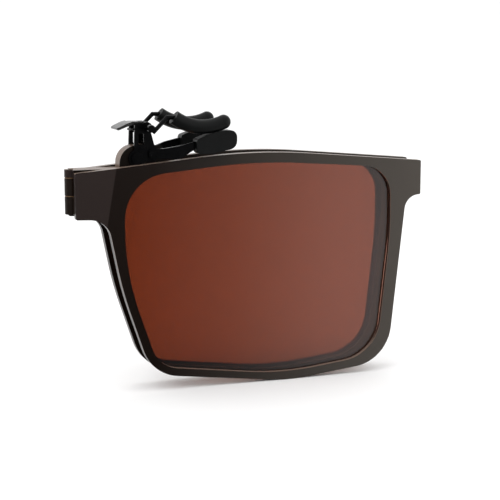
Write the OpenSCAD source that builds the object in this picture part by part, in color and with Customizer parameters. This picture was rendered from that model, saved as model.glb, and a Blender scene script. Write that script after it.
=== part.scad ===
// Clip-on sunglasses that fold in half, with a sprung bridge clip. Millimetres, +Z up.
// Rest pose: both halves folded flat against each other, clip closed and standing up.
// The origin is the bottom centre of the box around the whole object.

/* [Lens and rim] */
// width of the lens opening
lens_w = 54.2; // [46:0.1:65]
// height of the lens opening
lens_h = 41.2; // [36:0.1:50]
// rim width under the opening
rim_bottom = 1.9; // [1.5:0.1:2.6]
// rim width over the opening
rim_top = 2.1; // [1.6:0.1:2.8]
// rim width on the temple side
rim_temple = 2.5; // [2:0.1:3.4]
// thickness of each moulded half
plate_t = 1.7; // [1.5:0.05:2.4]
// thickness of each lens
lens_t = 0.8; // [0.6:0.05:1]
// ledge that holds the lens
lens_ledge = 0.7; // [0.5:0.05:1]

/* [Tabs] */
// distance from the hinge axis to the lens opening
nose_reach = 9.2; // [8.6:0.1:11.5]
// height of the nose tab
nose_tab_h = 8.6; // [7.9:0.1:10]
// how far the temple tab stands out
temple_tab_l = 6.65; // [5:0.05:8]
// height of the temple tab
temple_tab_h = 6.8; // [5:0.1:8.5]
// how much the outer face of the nose tab falls away at the hinge
tab_fall = 0.5; // [0:0.05:0.6]

/* [Centre hinge] */
// gap between the two folded halves
fold_gap = 4.7; // [4.6:0.05:5.4]
// outer radius of the hinge knuckles
knuckle_r = 1.2; // [1:0.05:1.3]
// radius of the hinge pin
pin_r = 0.5; // [0.4:0.01:0.6]
// thickness of each hinge leaf
leaf_t = 0.55; // [0.4:0.05:0.6]
// running clearance around the pins
run = 0.04; // [0.02:0.01:0.08]

/* [Bridge ear] */
// thickness of the ear
ear_t = 3.3; // [2.8:0.05:4]
// length of the ear's raised part
ear_l = 9.4; // [9:0.1:12]
// height of the ear over the rims beside it
ear_rise = 3.9; // [3.6:0.1:4.4]

/* [Clip] */
// thickness of the clip's sheet metal
sheet = 0.5; // [0.4:0.05:0.5]
// height of the lever pin over the flip rivet
lever_rise = 5.7; // [5.3:0.1:7]
// distance from the centre plane to each jaw
jaw_y = 5; // [4.6:0.1:6]
// radius of the wire prongs
wire_r = 0.4; // [0.35:0.05:0.5]
// radius of the upper rubber sleeves
sleeve_r = 1.35; // [1.1:0.05:1.4]
// length of the upper rubber sleeves
sleeve_l = 9.7; // [8:0.1:12]
// length of the lower rubber pads
pad_l = 7.9; // [6.5:0.1:9]
// thickness of the lower rubber pads
pad_t = 2.5; // [2:0.05:3]
// air between each sleeve and the pad below it
jaw_gap = 0.15; // [0.1:0.05:0.5]

/* [Hidden] */
$fn = 48;
eps = 0.01;
play = 0.08;
half_gap = max(fold_gap / 2, ear_t / 2 + play + sheet + 0.12);

// ---- rounded outlines: every corner is [x, z, radius] ----
arc_steps = 12;
function unit(v) = v / norm(v);
function turn(a, b) = a[0] * b[1] - a[1] * b[0];
function round_corner(a, b, c) =
    let (u = unit([a[0] - b[0], a[1] - b[1]]), v = unit([c[0] - b[0], c[1] - b[1]]))
    let (half = acos(u * v) / 2, r = b[2], m = unit(u + v))
    let (ctr = [b[0], b[1]] + m * r / sin(half), s = turn(u, v) < 0 ? 1 : -1)
    let (mid = atan2(-m[1], -m[0]), sweep = 90 - half)
    [for (i = [0:arc_steps]) let (w = mid + s * sweep * (2 * i / arc_steps - 1))
        ctr + r * [cos(w), sin(w)]];
function rounded(c) =
    let (n = len(c))
    [for (i = [0:n - 1]) each round_corner(c[(i + n - 1) % n], c[i], c[(i + 1) % n])];

// ---- lens opening, grown by g on every side ----
function open_x(f, g) = nose_reach - g + f * (lens_w + 2 * g);
function open_z(f, g) = rim_bottom - g + f * (lens_h + 2 * g);
// fillets and bends tighten when the lens is smaller than the size they were drawn for
drawn_w = 54.2;
drawn_h = 41.2;
fit = min(1, lens_w / drawn_w, lens_h / drawn_h);
function opening(g) = rounded([
    [open_x(0, g), open_z(0.95, g), (8.5 + g) * fit],
    [open_x(0.47, g), open_z(1.01, g), 110 * fit],
    [open_x(1.002, g), open_z(0.96, g), (6.2 + g) * fit],
    [open_x(1.004, g), open_z(0.64, g), 80 * fit],
    [open_x(0.955, g), open_z(0.042, g), (8.7 + g) * fit],
    [open_x(0.575, g), open_z(-0.012, g), 60 * fit],
    [open_x(0.115, g), open_z(0.07, g), (6 + g) * fit],
    [open_x(0, g), open_z(0.515, g), 50 * fit]]);

// ---- outline of a half ----
tab_corner_r = 0.3;
tab_top = open_z(0.981, 0);
tab_end = open_x(1, 0) + temple_tab_l;
temple_top = open_z(0.986, 0);
nose_fillet_r = 4;
temple_fillet_r = 3;
nose_fillet_x = nose_reach - 3.3;
nose_bend_x = nose_reach - 0.6;
nose_foot_x = open_x(0.09, 0);
half_outline = rounded([
    [0.02, tab_top, tab_corner_r],
    [open_x(0.483, 0), open_z(1.01, 0) + rim_top, 120 * fit],
    [tab_end, temple_top, tab_corner_r],
    [tab_end, temple_top - temple_tab_h, tab_corner_r],
    [open_x(1, 0) + rim_temple + 1, temple_top - temple_tab_h - 0.3, temple_fillet_r],
    [open_x(0.998, 0), open_z(0.008, 0), 8.5 * fit],
    [open_x(0.6, 0), open_z(-0.0025, 0) - rim_bottom, 30 * fit],
    [nose_foot_x, open_z(0.036, 0), 8 * fit],
    [nose_bend_x, open_z(0.435, 0), 70 * fit],
    [nose_fillet_x, tab_top - nose_tab_h - 0.2, nose_fillet_r],
    [0.02, tab_top - nose_tab_h, tab_corner_r]]);
z_low = min([for (p = half_outline) p[1]]);
x_far = max([for (p = half_outline) p[0]]);
x_mid = (x_far - knuckle_r) / 2;

// ---- heights used by the hinge: the ear's knuckle on top, then the far and near halves' ----
washer_t = 0.2;
strip_top = tab_top + 0.5;
upper_h = 1.45;
middle_h = 3.2;
lower_h = 3.3;
upper_z = strip_top - upper_h;
middle_z = upper_z - washer_t - middle_h;
lower_z = middle_z - washer_t - lower_h;
leaf_y = half_gap - leaf_t;
leaf_x = knuckle_r + 0.5;
leaf_end = nose_reach - 3.6;
rivet_r = 0.6;
rivet_x = leaf_end - 1.5;
rivet_z = [lower_z + 1.3, upper_z - 1.5];
blind = 0.9;

// ---- ear, flip rivet and lever pin ----
ear_x = nose_reach - 0.2;
ear_top = open_z(1, 0) + ear_rise;
flip_x = ear_x + 3.2;
flip_z = ear_top - 2.4;
flip_r = 0.8;
lever_x = ear_x + 5.1;
lever_z = flip_z + lever_rise;
lever_pin_r = 0.35;
side_y = ear_t / 2 + play;
side_out = side_y + sheet;

// ---- the lever's lugs and the spring coil between them ----
lug_t = 0.5;
coil_turns = 4;
coil_half = ear_t / 2 - lug_t - 0.16;
coil_wire_share = 0.48;
coil_pitch = 2 * coil_half / (coil_turns - 1 + 2 * coil_wire_share);
coil_wire = coil_wire_share * coil_pitch;
coil_r = lever_pin_r + coil_wire + 0.12;

// ---- jaws ----
arm_base_z = flip_z + 0.1;
pad_x = lever_x + 8.5;
pad_top = lever_z - 1.4;
pad_bottom = pad_top - 3.5;
dip_x = pad_x + 1.7;
dip_z = pad_top + jaw_gap + sleeve_r;
bow_r = 9.8;
sleeve_reach = 5.8;
sleeve_from = -asin(sleeve_reach / bow_r);
sleeve_to = asin((sleeve_l - sleeve_reach) / bow_r);

// ---- helpers ----
module place() {
    translate([-x_mid, 0, -z_low]) children();
}
// an x-z outline made solid from y0 to y1
module slab(y0, y1) {
    translate([0, y1, 0]) rotate([90, 0, 0]) linear_extrude(y1 - y0) children();
}
// a round bar along y
module bar_y(x, z, r, y0, y1) {
    translate([x, y0, z]) rotate([-90, 0, 0]) cylinder(r = r, h = y1 - y0, $fn = 40);
}
// the same part for the near half (s = 1) or the far half (s = -1)
module side(s) {
    if (s > 0) children();
    else mirror([0, 1, 0]) children();
}

// ---- one moulded half ----
module rim_body() {
    seat = lens_t + 0.02;
    difference() {
        slab(-half_gap - plate_t, -half_gap) polygon(half_outline);
        slab(-half_gap - plate_t - 1, -half_gap + 1) polygon(opening(0));
        slab(-half_gap - seat, -half_gap + 1) polygon(opening(lens_ledge));
        // the outer face of the nose tab falls away towards the hinge
        crease_x = nose_reach - 2.5;
        translate([crease_x, -half_gap - plate_t, tab_top - 5])
            rotate([0, 10, 0])
            rotate([0, 0, atan(-tab_fall / crease_x)])
            translate([-20, -5, -20]) cube([20, 5, 40]);
        for (z = rivet_z)
            bar_y(rivet_x, z, rivet_r, -half_gap - blind, -half_gap + 1);
    }
}
module near_rim() {
    color("#3a322d") place() rim_body();
}
module far_rim() {
    color("#3a322d") place() side(-1) rim_body();
}

module lens_body() {
    fit = 0.06;
    slab(-half_gap - lens_t, -half_gap) polygon(opening(lens_ledge - fit));
}
module near_lens() {
    color("#7a3c26") place() lens_body();
}
module far_lens() {
    color("#7a3c26") place() side(-1) lens_body();
}

// ---- hinge leaves: a thin plate with a foot that carries one knuckle ----
module leaf_body(z0, h) {
    difference() {
        union() {
            translate([leaf_x, -half_gap, lower_z])
                cube([leaf_end - leaf_x, leaf_t, upper_z - lower_z - 0.15]);
            translate([0.05, -half_gap, z0]) cube([leaf_x + 0.5, half_gap - 0.4, h]);
            translate([0, 0, z0]) cylinder(r = knuckle_r, h = h);
        }
        translate([0, 0, z0 - 1]) cylinder(r = pin_r + run, h = h + 2);
        for (z = rivet_z)
            bar_y(rivet_x, z, rivet_r, -half_gap - 1, 0);
    }
}
module near_hinge_leaf() {
    color("#8c8179") place() leaf_body(lower_z, lower_h);
}
module far_hinge_leaf() {
    color("#8c8179") place() side(-1) leaf_body(middle_z, middle_h);
}

// blind rivets that hold a leaf to the inside of its half
module leaf_rivet_body() {
    head_r = 1;
    head_t = 0.2;
    for (z = rivet_z) {
        bar_y(rivet_x, z, rivet_r, -half_gap - blind, -leaf_y);
        bar_y(rivet_x, z, head_r, -leaf_y, -leaf_y + head_t);
    }
}
module near_leaf_rivets() {
    color("#b5aca3") place() leaf_rivet_body();
}
module far_leaf_rivets() {
    color("#b5aca3") place() side(-1) leaf_rivet_body();
}

module centre_hinge_pin() {
    stick_out = 0.1;
    color("#b5aca3") place() translate([0, 0, lower_z - stick_out])
        cylinder(r = pin_r, h = strip_top - lower_z + 2 * stick_out);
}

module hinge_washers() {
    lift = 0.04;
    color("#d8d2cb") place()
        for (z = [upper_z - washer_t, middle_z - washer_t])
            translate([0, 0, z + lift]) difference() {
                cylinder(r = knuckle_r - 0.1, h = washer_t - 2 * lift);
                translate([0, 0, -1]) cylinder(r = pin_r, h = 3);
            }
}

// ---- ear: upper knuckle, strip along the top of the gap, raised arch for the clip ----
module ear_arch() {
    foot_z = tab_top - 3;
    polygon(rounded([
        [ear_x, ear_top, 3.3],
        [ear_x + ear_l, ear_top, 3.3],
        [ear_x + ear_l + 0.4, foot_z, 0.5],
        [ear_x - 0.2, foot_z, 0.5]]));
}
module bridge_ear() {
    strip_y = half_gap - 0.15;
    strip_end = ear_x + 2;
    color("#33291f") place() difference() {
        union() {
            difference() {
                slab(-ear_t / 2, ear_t / 2) ear_arch();
                slab(-ear_t, ear_t) polygon(opening(0.5));
            }
            translate([0, -strip_y, upper_z]) cube([strip_end, 2 * strip_y, upper_h]);
            translate([0, 0, upper_z]) cylinder(r = knuckle_r, h = upper_h);
        }
        translate([0, 0, upper_z - 1]) cylinder(r = pin_r, h = upper_h + 2);
        bar_y(flip_x, flip_z, flip_r, -ear_t, ear_t);
    }
}

// ---- clip bracket ----
module flip_rivet() {
    head_r = 1.2;
    head_t = 0.35;
    color("#1d1d1f") place() {
        bar_y(flip_x, flip_z, flip_r, -side_out - play, side_out + play);
        bar_y(flip_x, flip_z, head_r, side_out + 0.05, side_out + 0.05 + head_t);
        bar_y(flip_x, flip_z, head_r, -side_out - 0.05 - head_t, -side_out - 0.05);
    }
}

module bracket_outline() {
    base_z = flip_z - 0.7;
    base_r = lever_x + 1.65;
    end_r = 1.65;
    translate([flip_x, flip_z]) circle(r = end_r);
    polygon(rounded([
        [flip_x - 0.6, flip_z + end_r - 0.1, 0.2],
        [lever_x - 2.3, lever_z + 0.9, 0.4],
        [lever_x + 0.3, lever_z + 0.9, 0.5],
        [base_r, base_z + 2.2, 0.5],
        [base_r, base_z, 0.4],
        [flip_x - 0.6, base_z, 0.1]]));
    translate([lever_x, lever_z]) circle(r = lever_pin_r + 0.7);
}
module clip_bracket() {
    web_h = 1.3;
    web_z = ear_top + 0.5;
    web_x = lever_x + 0.55;
    window_w = 1;
    window_h = 2;
    color("#161618") place() difference() {
        union() {
            slab(-side_out, -side_y) bracket_outline();
            slab(side_y, side_out) bracket_outline();
            translate([web_x, -side_y - eps, web_z]) cube([sheet, 2 * (side_y + eps), web_h]);
        }
        bar_y(flip_x, flip_z, flip_r + run, -side_out - 1, side_out + 1);
        bar_y(lever_x, lever_z, lever_pin_r + run, -side_out - 1, side_out + 1);
        translate([lever_x - 1.6, -side_out - 1, web_z - 0.3])
            cube([window_w, 2 * side_out + 2, window_h]);
        for (s = [-1, 1])
            bar_y(arm_rivet_x, arm_rivet_z, arm_rivet_r, s * side_y - 1, s * side_y + 1);
    }
}

// ---- lower arms: bent strips riveted outside the bracket, ending inside the pads ----
arm_rivet_x = lever_x + 0.9;
arm_rivet_z = arm_base_z + 0.7;
arm_rivet_r = 0.4;
arm_in = side_out + 0.01;
arm_end = pad_x + pad_l - 1.3;
module arm_body() {
    foot_x = arm_rivet_x - 0.75;
    bend_a = arm_rivet_x + 1;
    bend_b = bend_a + 3.6;
    jaw_in = jaw_y - sheet / 2;
    intersection() {
        linear_extrude(100) polygon([
            [foot_x, -arm_in], [bend_a, -arm_in], [bend_b, -jaw_in], [arm_end, -jaw_in],
            [arm_end, -jaw_in - sheet], [bend_b - 0.16, -jaw_in - sheet],
            [bend_a - 0.16, -arm_in - sheet], [foot_x, -arm_in - sheet]]);
        difference() {
            slab(-20, 0) polygon(rounded([
                [foot_x, arm_base_z + 1.7, 0.8],
                [bend_a + 1, arm_base_z + 1.7, 2],
                [pad_x, pad_top - 1.2, 2],
                [arm_end, pad_top - 0.9, 0.5],
                [arm_end, pad_top - 2.3, 0.5],
                [pad_x, pad_top - 2.6, 2],
                [bend_b, arm_base_z - 0.2, 1.5],
                [foot_x, arm_base_z - 0.2, 0.8]]));
            bar_y(arm_rivet_x, arm_rivet_z, arm_rivet_r, -20, 0);
        }
    }
}
module near_lower_arm() {
    color("#161618") place() arm_body();
}
module far_lower_arm() {
    color("#161618") place() side(-1) arm_body();
}
module arm_rivets() {
    head_r = 0.7;
    head_t = 0.2;
    y0 = side_y + 0.05;
    y1 = arm_in + sheet;
    color("#2a2a2c") place() for (s = [1, -1]) side(s) {
        bar_y(arm_rivet_x, arm_rivet_z, arm_rivet_r, -y1, -y0);
        bar_y(arm_rivet_x, arm_rivet_z, head_r, -y1 - head_t, -y1);
    }
}

// ---- lower pads: rubber blocks moulded round the arm ends, hollowed for the sleeves ----
module pad_body() {
    difference() {
        slab(-jaw_y - pad_t / 2, -jaw_y + pad_t / 2) polygon(rounded([
            [pad_x, pad_top - 0.7, 0.8],
            [pad_x + pad_l * 0.5, pad_top + 0.6, 3],
            [pad_x + pad_l, pad_top + 0.9, 1.3],
            [pad_x + pad_l, pad_top - 2.5, 1.6],
            [pad_x + pad_l * 0.4, pad_bottom, 3],
            [pad_x, pad_bottom, 0.8]]));
        translate([dip_x, -jaw_y, dip_z + bow_r]) rotate([90, 0, 0])
            rotate_extrude($fn = 96) translate([bow_r, 0]) circle(r = sleeve_r + jaw_gap);
        intersection() {
            arm_body();
            translate([pad_x - 1, -jaw_y - 3, 0]) cube([pad_l + 2, 6, 100]);
        }
    }
}
module near_lower_pad() {
    color("#3a3c3b") place() pad_body();
}
module far_lower_pad() {
    color("#3a3c3b") place() side(-1) pad_body();
}

// ---- sprung lever with the thumb paddle ----
module lever_sheet(from_x, to_x) {
    tip_x = lever_x - 5.9;
    top_z = lever_z + 1.05;
    intersection() {
        polygon(rounded([
            [tip_x, lever_z - 0.05, 0.2],
            [tip_x + 2.6, top_z + 0.1, 4],
            [lever_x + 0.2, top_z, 0.2],
            [lever_x + 0.2, top_z - 0.55, 0.2],
            [tip_x + 2.8, top_z - 0.5, 3.4],
            [tip_x + 0.3, lever_z - 0.4, 0.2]]));
        translate([from_x, lever_z - 5]) square([to_x - from_x, 10]);
    }
}
module thumb_lever() {
    paddle_y = 2.6;
    paddle_x = lever_x - 3;
    paddle_r = 3.4;
    lug_y = side_y - play;
    lug_r = lever_pin_r + 0.45;
    neck_y = lug_y - 0.06;
    coil_space = coil_half + 0.09;
    coil_reach = coil_r + coil_wire + 0.3;
    color("#161618") place() difference() {
        union() {
            intersection() {
                slab(-paddle_y, paddle_y) lever_sheet(lever_x - 10, paddle_x);
                translate([paddle_x - 0.2, 0, lever_z - 5]) cylinder(r = paddle_r, h = 10);
            }
            slab(-neck_y, neck_y) lever_sheet(paddle_x - 0.8, lever_x + 5);
            for (s = [-1, 1]) {
                y0 = s > 0 ? lug_y - lug_t : -lug_y;
                bar_y(lever_x, lever_z, lug_r, y0, y0 + lug_t);
                translate([lever_x - 1.1, y0 + 0.02, lever_z])
                    cube([1.2, lug_t - 0.04, lug_r - 0.1]);
            }
        }
        bar_y(lever_x, lever_z, lever_pin_r, -5, 5);
        // room for the coil between the lugs
        translate([lever_x - coil_reach, -coil_space, lever_z - coil_reach])
            cube([2 * coil_reach, 2 * coil_space, 2 * coil_reach + 1]);
    }
}

eye_r = lever_pin_r + 0.35;
eye_w = 1.1;
module lever_pin() {
    end = jaw_y + eye_w / 2;
    color("#2a2a2c") place() bar_y(lever_x, lever_z, lever_pin_r, -end, end);
}

// the coil around the lever pin: one leg under the paddle, one against the bracket web
module torsion_spring() {
    leg_r = coil_wire * 0.83;
    leg_y = (coil_turns - 1) / 2 * coil_pitch;
    color("#77777a") place() translate([lever_x, 0, lever_z]) {
        for (i = [0:coil_turns - 1])
            translate([0, -leg_y + i * coil_pitch, 0]) rotate([90, 0, 0])
                rotate_extrude($fn = 40) translate([coil_r, 0]) circle(r = coil_wire, $fn = 16);
        // the step from each turn to the next
        bar_y(coil_r, 0, leg_r * 0.8, -leg_y, leg_y);
        translate([0, -leg_y, -coil_r]) rotate([0, -82, 0])
            cylinder(r = leg_r, h = 3.4, $fn = 16);
        translate([0, leg_y, -coil_r]) rotate([0, 130, 0])
            cylinder(r = leg_r, h = 0.45, $fn = 16);
    }
}

// ---- upper jaws: an eye on the lever pin, a wire that rises and levels out ----
wire_z = dip_z + bow_r - sqrt(bow_r * bow_r - sleeve_reach * sleeve_reach);
wire_x = dip_x - sleeve_reach;
module prong_body() {
    knee_z = wire_z;
    miss = eye_r + 0.1;
    lead = 0.3;
    start_x = lever_x + (miss - lead) * sqrt(0.5);
    start_z = lever_z - (miss + lead) * sqrt(0.5);
    rise = knee_z - start_z;
    knee_x = start_x + rise;
    ball_r = wire_r + 0.02;
    translate([0, -jaw_y, 0]) difference() {
        union() {
            bar_y(lever_x, lever_z, eye_r, -eye_w / 2, eye_w / 2);
            translate([start_x, 0, start_z]) rotate([0, 45, 0])
                cylinder(r = wire_r, h = rise * sqrt(2));
            translate([knee_x, 0, knee_z]) sphere(r = ball_r);
            translate([knee_x, 0, knee_z]) rotate([0, 90, 0])
                cylinder(r = wire_r, h = wire_x - knee_x);
            translate([wire_x, 0, knee_z]) sphere(r = ball_r);
            translate([dip_x, 0, dip_z + bow_r]) rotate([90, 0, 0]) rotate([0, 0, 270 + sleeve_from])
                rotate_extrude(angle = sleeve_to - sleeve_from - 8, $fn = 96)
                translate([bow_r, 0]) circle(r = wire_r);
        }
        bar_y(lever_x, lever_z, lever_pin_r, -5, 5);
    }
}
module near_wire_prong() {
    color("#161618") place() prong_body();
}
module far_wire_prong() {
    color("#161618") place() side(-1) prong_body();
}

module sleeve_body() {
    tip = 270 + sleeve_to;
    translate([dip_x, -jaw_y, dip_z + bow_r]) rotate([90, 0, 0]) difference() {
        union() {
            rotate([0, 0, 270 + sleeve_from])
                rotate_extrude(angle = sleeve_to - sleeve_from, $fn = 96)
                translate([bow_r, 0]) circle(r = sleeve_r);
            translate([bow_r * cos(tip), bow_r * sin(tip), 0]) sphere(r = sleeve_r + 0.02);
        }
        rotate([0, 0, 270 + sleeve_from - 6])
            rotate_extrude(angle = sleeve_to - sleeve_from - 2, $fn = 96)
            translate([bow_r, 0]) circle(r = wire_r);
    }
}
module near_sleeve() {
    color("#2c2e2d") place() sleeve_body();
}
module far_sleeve() {
    color("#2c2e2d") place() side(-1) sleeve_body();
}

near_rim();
far_rim();
near_lens();
far_lens();
near_hinge_leaf();
far_hinge_leaf();
near_leaf_rivets();
far_leaf_rivets();
centre_hinge_pin();
hinge_washers();
bridge_ear();
flip_rivet();
clip_bracket();
near_lower_arm();
far_lower_arm();
arm_rivets();
near_lower_pad();
far_lower_pad();
thumb_lever();
lever_pin();
torsion_spring();
near_wire_prong();
far_wire_prong();
near_sleeve();
far_sleeve();
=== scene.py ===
"""Looks for the folding clip-on sunglasses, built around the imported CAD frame."""
import math

import bpy
import bmesh
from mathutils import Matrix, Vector


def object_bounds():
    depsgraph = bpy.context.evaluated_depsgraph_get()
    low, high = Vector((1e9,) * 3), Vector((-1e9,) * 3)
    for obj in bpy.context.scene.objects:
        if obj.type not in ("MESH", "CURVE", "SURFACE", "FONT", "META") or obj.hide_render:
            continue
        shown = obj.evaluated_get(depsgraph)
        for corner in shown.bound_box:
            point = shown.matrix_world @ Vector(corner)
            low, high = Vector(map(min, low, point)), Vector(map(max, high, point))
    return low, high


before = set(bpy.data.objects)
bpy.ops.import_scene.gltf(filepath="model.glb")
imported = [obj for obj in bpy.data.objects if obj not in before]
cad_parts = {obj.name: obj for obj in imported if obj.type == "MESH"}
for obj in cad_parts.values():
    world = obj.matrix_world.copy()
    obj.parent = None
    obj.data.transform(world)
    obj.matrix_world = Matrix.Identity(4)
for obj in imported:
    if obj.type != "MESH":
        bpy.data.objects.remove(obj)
scene = bpy.context.scene
cad_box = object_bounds()
low, high = cad_box
MM = 0.001
# the hinge axis stands this far inside the nose end of the box around the object
HINGE_X = low[0] + 1.2 * MM


# ---------------------------------------------------------------- shader helpers
class Nodes:
    """A small builder for one material's node tree."""

    def __init__(self, name):
        self.mat = bpy.data.materials.new(name)
        self.mat.use_nodes = True
        self.tree = self.mat.node_tree
        self.tree.nodes.clear()
        self.out = self.add("ShaderNodeOutputMaterial")
        self.shader = self.add("ShaderNodeBsdfPrincipled")
        self.link(self.shader.outputs[0], self.out.inputs[0])
        self.coord = self.add("ShaderNodeTexCoord")

    def add(self, kind, **settings):
        node = self.tree.nodes.new(kind)
        for key, value in settings.items():
            setattr(node, key, value)
        return node

    def link(self, a, b):
        self.tree.links.new(a, b)

    def put(self, node, name, value):
        """Link a socket to an input, or set the input to a constant."""
        if hasattr(value, "is_output"):
            self.link(value, node.inputs[name])
        else:
            node.inputs[name].default_value = value

    def set(self, **values):
        """Set the shader's inputs, with each space in a name written as an underscore."""
        for key, value in values.items():
            self.put(self.shader, key.replace("_", " "), value)

    def noise(self, scale, detail=4.0):
        """Object-space noise, with the scale in cells per metre."""
        node = self.add("ShaderNodeTexNoise")
        self.link(self.coord.outputs["Object"], node.inputs["Vector"])
        self.put(node, "Scale", scale)
        self.put(node, "Detail", detail)
        self.put(node, "Roughness", 0.55)
        return node.outputs["Fac"]

    def ramp(self, fac, stops):
        node = self.add("ShaderNodeValToRGB")
        self.link(fac, node.inputs[0])
        ramp = node.color_ramp
        while len(ramp.elements) < len(stops):
            ramp.elements.new(0.5)
        for element, (at, colour) in zip(ramp.elements, stops):
            element.position = at
            element.color = (*colour, 1.0)
        return node.outputs[0]

    def mix(self, fac, a, b):
        """Blend two colours: input 0 is the factor, 6 and 7 are the colours."""
        node = self.add("ShaderNodeMix", data_type="RGBA")
        self.put(node, 0, fac)
        for index, value in ((6, a), (7, b)):
            if hasattr(value, "is_output"):
                self.link(value, node.inputs[index])
            else:
                node.inputs[index].default_value = (*value, 1.0)
        return node.outputs[2]

    def math(self, op, a, b=0.0):
        node = self.add("ShaderNodeMath", operation=op)
        for index, value in enumerate((a, b)):
            self.put(node, index, value)
        return node.outputs[0]

    def remap(self, value, from_min, from_max, to_min, to_max):
        node = self.add("ShaderNodeMapRange")
        for name, item in (("Value", value), ("From Min", from_min), ("From Max", from_max),
                           ("To Min", to_min), ("To Max", to_max)):
            self.put(node, name, item)
        return node.outputs[0]

    def bump(self, height, strength, distance):
        node = self.add("ShaderNodeBump")
        self.put(node, "Height", height)
        self.put(node, "Strength", strength)
        self.put(node, "Distance", distance)
        self.link(node.outputs[0], self.shader.inputs["Normal"])

    def facing(self, axis, signed=False, source="Normal"):
        """1 on faces that look along the object's own axis, 0 on faces square to it."""
        geometry = self.add("ShaderNodeNewGeometry")
        split = self.add("ShaderNodeSeparateXYZ")
        transform = self.add("ShaderNodeVectorTransform", vector_type="NORMAL",
                             convert_from="WORLD", convert_to="OBJECT")
        self.link(geometry.outputs[source], transform.inputs[0])
        self.link(transform.outputs[0], split.inputs[0])
        return split.outputs[axis] if signed else self.math("ABSOLUTE", split.outputs[axis])

    def place(self, axis):
        """Object-space coordinate along one axis, in metres."""
        split = self.add("ShaderNodeSeparateXYZ")
        self.link(self.coord.outputs["Object"], split.inputs[0])
        return split.outputs[axis]


def srgb(*values):
    """Linear colour from 0-255 screen values."""
    return tuple(((v / 255) / 12.92 if v <= 10 else ((v / 255 + 0.055) / 1.055) ** 2.4)
                 for v in values)


# ---------------------------------------------------------------- materials
FACE = srgb(15, 7, 4)
FACE_LIGHT = srgb(19, 10, 6)
# painted highlight colour for the facet by the nose tab
FACET_HIGHLIGHT = srgb(37, 29, 27)
# painted reflection colour that the face lightens to at the temple end
FACE_PAINTED_REFLECTION = srgb(68, 63, 58)
# painted edge highlight colours
EDGE_HIGHLIGHT = srgb(126, 109, 98)
EDGE_HIGHLIGHT_DIM = srgb(108, 92, 81)
# the painted edge highlight starts on the rims' outer edges this far from the centre plane, on
# the ear's this far from the nose end
RIM_EDGE_FROM = 3.78 * MM
EAR_EDGE_FROM = low[0] + 8 * MM


def frame_plastic(name, face, face_light, shine, axis, edge_from):
    """Dark moulding with painted highlights where the outer edges and the upward faces catch
    the light.
    """
    m = Nodes(name)
    mottle = m.noise(40.0, 2.0)
    grain = m.noise(2600.0, 3.0)
    dark = m.ramp(mottle, [(0.3, face), (0.75, face_light)])
    # light is the painted edge highlight colour, mottled
    light = m.ramp(mottle, [(0.3, EDGE_HIGHLIGHT_DIM), (0.7, EDGE_HIGHLIGHT)])
    # the facet by the nose tab leans slightly to the nose side and gets a painted highlight
    # colour
    painted_facet_mask = m.remap(m.facing("X", True, "True Normal"), -0.03, -0.05, 0.0, 1.0)
    # painted reflection: the face lightens towards the temple end
    reflection_from = low[0] + 16 * MM
    painted_reflection_ramp = m.remap(m.place("X"), reflection_from, high[0], 0.0, 1.0)
    face_with_painted_light = m.mix(painted_facet_mask, m.mix(painted_reflection_ramp, dark, FACE_PAINTED_REFLECTION), FACET_HIGHLIGHT)
    # painted highlight: edge walls are light where they face up or stand beyond edge_from along
    # the axis
    wall = m.remap(m.facing("Y"), 0.5, 0.85, 1.0, 0.0)
    edge_blend = 0.06 * MM
    at = m.place(axis) if axis == "X" else m.math("ABSOLUTE", m.place(axis))
    outer = m.remap(at, edge_from, edge_from + edge_blend, 0.0, 1.0)
    up = m.remap(m.facing("Z", True), 0.35, 0.75, 0.0, 1.0)
    lit = m.math("MULTIPLY", wall, m.math("MAXIMUM", outer, up))
    m.set(Base_Color=m.mix(lit, face_with_painted_light, light),
          Roughness=m.remap(mottle, 0.2, 0.8, 0.27, 0.29))
    m.shader.inputs["Specular IOR Level"].default_value = shine
    m.bump(grain, 0.03, 0.02 * MM)
    return m.mat


def tinted_lens():
    """Brown tint that clears a little towards the temple side."""
    m = Nodes("lens_tint")
    haze = m.noise(60.0, 3.0)
    tint_from, tint_to, haze_share = low[0] + 10 * MM, low[0] + 66 * MM, 0.06
    across = m.remap(m.place("X"), tint_from, tint_to, 0.0, 1.0)
    drift = m.math("ADD", across, m.math("MULTIPLY", m.math("SUBTRACT", haze, 0.5), haze_share))
    tint = m.ramp(drift, [(0.0, srgb(160, 104, 74)), (0.45, srgb(167, 115, 92)),
                          (1.0, srgb(170, 122, 104))])
    m.set(Base_Color=tint, Roughness=m.remap(haze, 0.2, 0.8, 0.0, 0.01))
    m.shader.inputs["IOR"].default_value = 1.5
    m.shader.inputs["Transmission Weight"].default_value = 1.0
    m.shader.inputs["Specular IOR Level"].default_value = 0.14
    m.bump(haze, 0.01, 0.04 * MM)
    return m.mat


def rubber():
    """Matte dark rubber with a fine grain."""
    m = Nodes("jaw_rubber")
    cloud = m.noise(700.0)
    grain = m.noise(9000.0, 3.0)
    m.set(Base_Color=m.ramp(cloud, [(0.25, srgb(9, 10, 10)), (0.8, srgb(13, 14, 14))]),
          Roughness=m.remap(cloud, 0.2, 0.8, 0.36, 0.44))
    m.shader.inputs["Specular IOR Level"].default_value = 0.12
    m.bump(grain, 0.15, 0.03 * MM)
    return m.mat


def metal(name, dark, light, rough, metallic, shine=0.5):
    """Painted or bare metal: a cloudy shade and a fine grain."""
    m = Nodes(name)
    cloud = m.noise(900.0)
    grain = m.noise(4000.0, 3.0)
    m.set(Base_Color=m.ramp(cloud, [(0.25, dark), (0.8, light)]),
          Roughness=m.remap(cloud, 0.2, 0.8, rough - 0.05, rough + 0.07))
    m.shader.inputs["Metallic"].default_value = metallic
    m.shader.inputs["Specular IOR Level"].default_value = shine
    m.bump(grain, 0.12, 0.03 * MM)
    return m.mat


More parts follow.
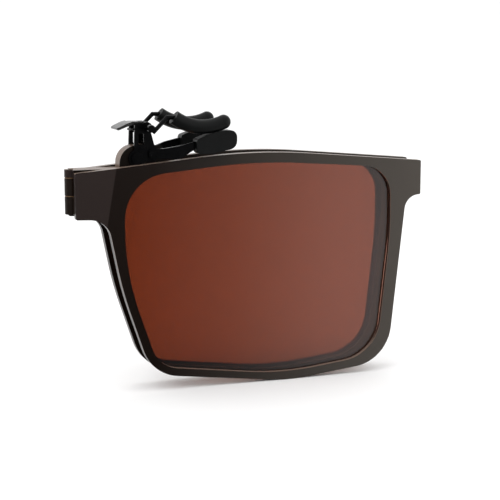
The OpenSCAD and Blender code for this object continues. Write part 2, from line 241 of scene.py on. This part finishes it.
def hinge_paint():
    """Dark lacquer with a painted highlight that makes the knuckles' end faces lighter."""
    m = Nodes("hinge_lacquer")
    cloud = m.noise(800.0)
    ends = m.remap(m.facing("Z"), 0.35, 0.8, 0.0, 1.0)
    dark = m.ramp(cloud, [(0.3, srgb(20, 12, 7)), (0.75, srgb(26, 17, 11))])
    # painted highlight colour for the knuckles' end faces
    painted_end_highlight = m.ramp(cloud, [(0.3, srgb(92, 72, 52)), (0.75, srgb(110, 90, 68))])
    m.set(Base_Color=m.mix(ends, dark, painted_end_highlight),
          Roughness=m.remap(cloud, 0.2, 0.8, 0.26, 0.38))
    m.shader.inputs["Specular IOR Level"].default_value = 0.12
    m.bump(m.noise(4000.0, 3.0), 0.10, 0.03 * MM)
    return m.mat


PLASTIC = frame_plastic("frame_brown", FACE, FACE_LIGHT, 0.14, "Y", RIM_EDGE_FROM)
EAR = frame_plastic("ear_brown", srgb(14, 9, 5), srgb(18, 12, 8), 0.08, "X", EAR_EDGE_FROM)
LENS = tinted_lens()
RUBBER = rubber()
BLACK = metal("black_satin", srgb(2, 2, 3), srgb(4, 4, 5), 0.2, 0.0, 0.08)
PADDLE = metal("paddle_satin", srgb(12, 11, 11), srgb(18, 16, 16), 0.24, 0.0, 0.6)
STEEL = metal("spring_steel", srgb(120, 120, 122), srgb(160, 160, 160), 0.3, 1.0)
HINGE = hinge_paint()
WASHER = metal("washer_bronze", srgb(104, 78, 50), srgb(124, 96, 66), 0.5, 0.0, 0.2)

LOOKS = {
    "near_rim": PLASTIC, "far_rim": PLASTIC, "bridge_ear": EAR,
    "near_lens": LENS, "far_lens": LENS,
    "near_hinge_leaf": HINGE, "far_hinge_leaf": HINGE, "centre_hinge_pin": HINGE,
    "near_leaf_rivets": HINGE, "far_leaf_rivets": HINGE, "hinge_washers": WASHER,
    "flip_rivet": BLACK, "clip_bracket": BLACK, "arm_rivets": BLACK,
    "near_lower_arm": BLACK, "far_lower_arm": BLACK, "thumb_lever": PADDLE,
    "lever_pin": BLACK, "near_wire_prong": BLACK, "far_wire_prong": BLACK,
    "torsion_spring": STEEL,
    "near_lower_pad": RUBBER, "far_lower_pad": RUBBER,
    "near_sleeve": RUBBER, "far_sleeve": RUBBER,
}
# width of the softened edge on each CAD part, in millimetres
SOFT_EDGE = {
    "near_rim": 0.2, "far_rim": 0.2, "bridge_ear": 0.2,
    "near_lens": 0.05, "far_lens": 0.05, "clip_bracket": 0.07,
    "near_lower_arm": 0.07, "far_lower_arm": 0.07, "thumb_lever": 0.07,
    "flip_rivet": 0.1, "arm_rivets": 0.06, "lever_pin": 0.1,
    "near_hinge_leaf": 0.08, "far_hinge_leaf": 0.08, "centre_hinge_pin": 0.1,
    "near_lower_pad": 0.35, "far_lower_pad": 0.35,
}
SHARP_ANGLE = math.radians(40)

for name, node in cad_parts.items():
    node.data.materials.clear()
    node.data.materials.append(LOOKS[name])
    for polygon in node.data.polygons:
        polygon.use_smooth = True
    if name in SOFT_EDGE:
        bevel = node.modifiers.new("soft_edge", "BEVEL")
        bevel.width = SOFT_EDGE[name] * MM
        bevel.segments = 3
        bevel.limit_method = "ANGLE"
        bevel.angle_limit = SHARP_ANGLE
        bevel.harden_normals = False
    smooth = node.modifiers.new("smooth", "WEIGHTED_NORMAL")
    smooth.keep_sharp = True

# ---------------------------------------------------------------- stage and light
centre = (Vector(low) + Vector(high)) / 2


def floor():
    """A pale floor that curves up into a backdrop behind the object."""
    mesh = bpy.data.meshes.new("stage_floor")
    bm = bmesh.new()
    half, near, depth, radius, tall = 1.6, -1.6, 0.9, 0.5, 1.8
    profile = [(near, 0.0), (depth, 0.0)]
    steps = 16
    for i in range(1, steps + 1):
        angle = math.pi / 2 * i / steps
        profile.append((depth + radius * math.sin(angle), radius * (1 - math.cos(angle))))
    profile.append((depth + radius, tall))
    rows = [[bm.verts.new((x, y, z)) for x in (-half, half)] for y, z in profile]
    for a, b in zip(rows, rows[1:]):
        bm.faces.new((a[0], a[1], b[1], b[0]))
    bm.to_mesh(mesh)
    bm.free()
    for polygon in mesh.polygons:
        polygon.use_smooth = True
    obj = bpy.data.objects.new("stage_floor", mesh)
    scene.collection.objects.link(obj)
    m = Nodes("stage_white")
    pale, white = (0.93,) * 3, (0.96,) * 3
    m.set(Base_Color=m.ramp(m.noise(3.0), [(0.3, pale), (0.7, white)]), Roughness=0.9)
    mesh.materials.append(m.mat)


floor()


def reflection_card():
    """A softbox lying in front, seen only in reflections: dim left, bright right."""
    mesh = bpy.data.meshes.new("stage_card")
    bm = bmesh.new()
    half, far, near, lift = 0.9, -0.8, -0.006, 0.05 * MM
    corners = [(-half, far), (half, far), (half, near), (-half, near)]
    bm.faces.new([bm.verts.new((HINGE_X + x, y, lift)) for x, y in corners])
    bm.to_mesh(mesh)
    bm.free()
    obj = bpy.data.objects.new("stage_card", mesh)
    scene.collection.objects.link(obj)
    m = Nodes("stage_card_grey")
    split = m.add("ShaderNodeSeparateXYZ")
    m.link(m.coord.outputs["Object"], split.inputs[0])
    # the shade fans out from a point behind the object: (slope of the line, glow)
    glow = [(0.02, 0.30), (0.12, 0.20), (0.25, 0.04), (0.35, 0.4), (0.43, 1.0), (0.52, 1.3)]
    brightest = 1.3
    fan_x, fan_y = low[0] - 0.055, 0.244
    across = m.math("SUBTRACT", split.outputs["X"], fan_x)
    along = m.math("SUBTRACT", fan_y, split.outputs["Y"])
    slope = m.math("DIVIDE", across, along)
    shade = m.ramp(slope, [(at, (v / brightest,) * 3) for at, v in glow])
    m.set(Base_Color=(0.0, 0.0, 0.0, 1.0), Roughness=0.95,
          Emission_Color=shade)
    m.shader.inputs["Emission Strength"].default_value = brightest
    m.shader.inputs["Specular IOR Level"].default_value = 0.0
    mesh.materials.append(m.mat)
    obj.visible_camera = obj.visible_diffuse = obj.visible_shadow = False


reflection_card()


def area_light(name, at, size, watts):
    """A soft rectangular light, in metres and watts, turned to the object's centre."""
    data = bpy.data.lights.new(name, "AREA")
    data.shape = "RECTANGLE"
    data.size, data.size_y = size
    data.energy = watts
    obj = bpy.data.objects.new(name, data)
    scene.collection.objects.link(obj)
    obj.location = at
    obj.rotation_euler = (centre - Vector(at)).to_track_quat("-Z", "Y").to_euler()


area_light("key", (-0.45, -0.35, 0.55), (0.5, 0.5), 0.9)
area_light("fill", (0.6, -0.35, 0.30), (0.6, 0.4), 0.4)
area_light("top", (0.0, 0.05, 0.7), (0.8, 0.8), 1.2)

# a plain white surround, just bright enough to show as white
WORLD_STRENGTH = 1.08
world = bpy.data.worlds.new("studio")
scene.world = world
world.use_nodes = True
background = world.node_tree.nodes["Background"]
background.inputs[0].default_value = (1.0, 1.0, 1.0, 1.0)
background.inputs[1].default_value = WORLD_STRENGTH
scene.view_settings.view_transform = "Standard"

# ---------------------------------------------------------------- camera
AZIMUTH, ELEVATION = math.radians(-19.84), math.radians(9.40)
LENS_MM, SENSOR_MM = 100.08, 36.0
# where the camera stands, from the foot of the hinge axis
CAMERA_FROM_HINGE = (-0.0557, -0.2522, 0.06997)


def camera():
    data = bpy.data.cameras.new("camera")
    data.lens, data.sensor_width = LENS_MM, SENSOR_MM
    data.clip_start, data.clip_end = 0.01, 20.0
    obj = bpy.data.objects.new("camera", data)
    scene.collection.objects.link(obj)
    obj.location = Vector((HINGE_X, 0.0, low[2])) + Vector(CAMERA_FROM_HINGE)
    back = Vector((math.sin(AZIMUTH) * math.cos(ELEVATION),
                   -math.cos(AZIMUTH) * math.cos(ELEVATION), math.sin(ELEVATION)))
    obj.rotation_euler = back.to_track_quat("Z", "Y").to_euler()
    scene.camera = obj


camera()
